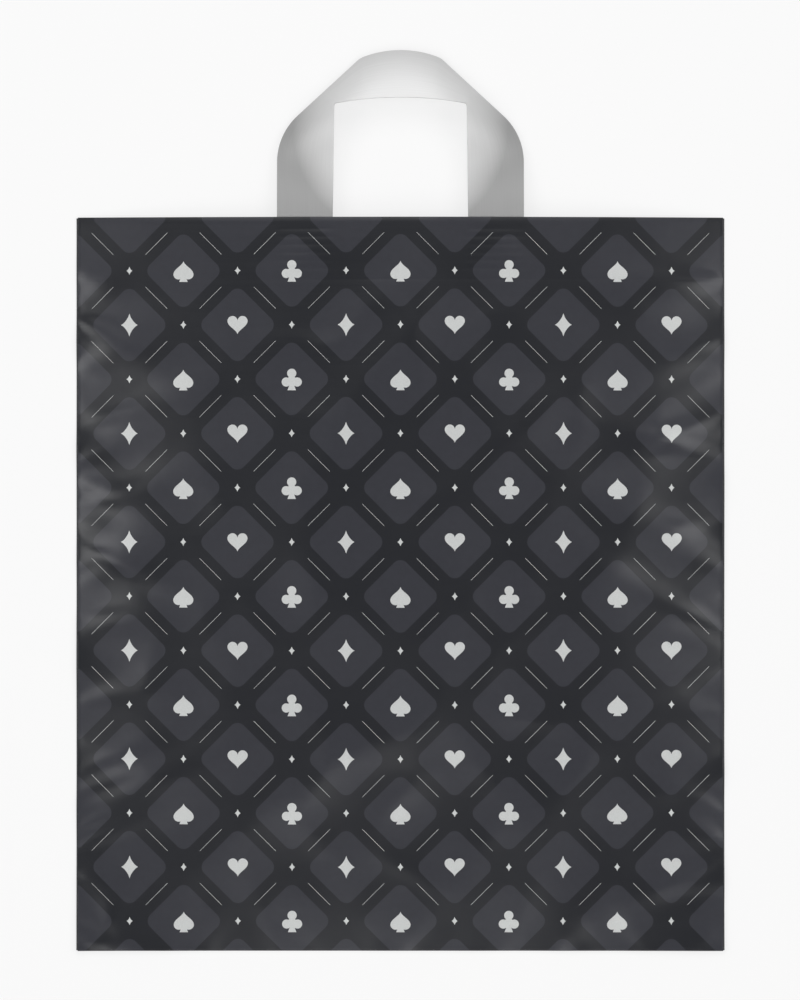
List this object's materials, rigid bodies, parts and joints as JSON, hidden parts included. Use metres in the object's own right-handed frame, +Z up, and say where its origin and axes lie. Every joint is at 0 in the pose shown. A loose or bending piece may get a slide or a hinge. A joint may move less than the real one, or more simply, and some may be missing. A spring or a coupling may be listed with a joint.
{
  "type": "plastic carrier bag",
  "caption": "Flat plastic carrier bag with a bottom fold, welded sides, a turned-in hem and soft loop handles of film strip welded inside the mouth, lying on its back.",
  "frame": {"origin": "middle of the footprint, on the surface that the bag lies on", "axes": "+X across the bag, +Y from the bottom fold towards the handles, +Z up through the front of the bag"},
  "size_m": [0.38, 0.5281, 0.0202],
  "materials": {
    "printed_film": "charcoal polyethylene film with a two-grey diamond print, satin",
    "handle_film": "silver-white polyethylene strip, satin"
  },
  "bodies": {
    "root": {"bag_body": "printed_film", "front_handle": "handle_film", "rear_handle": "handle_film"}
  },
  "joints": []
}
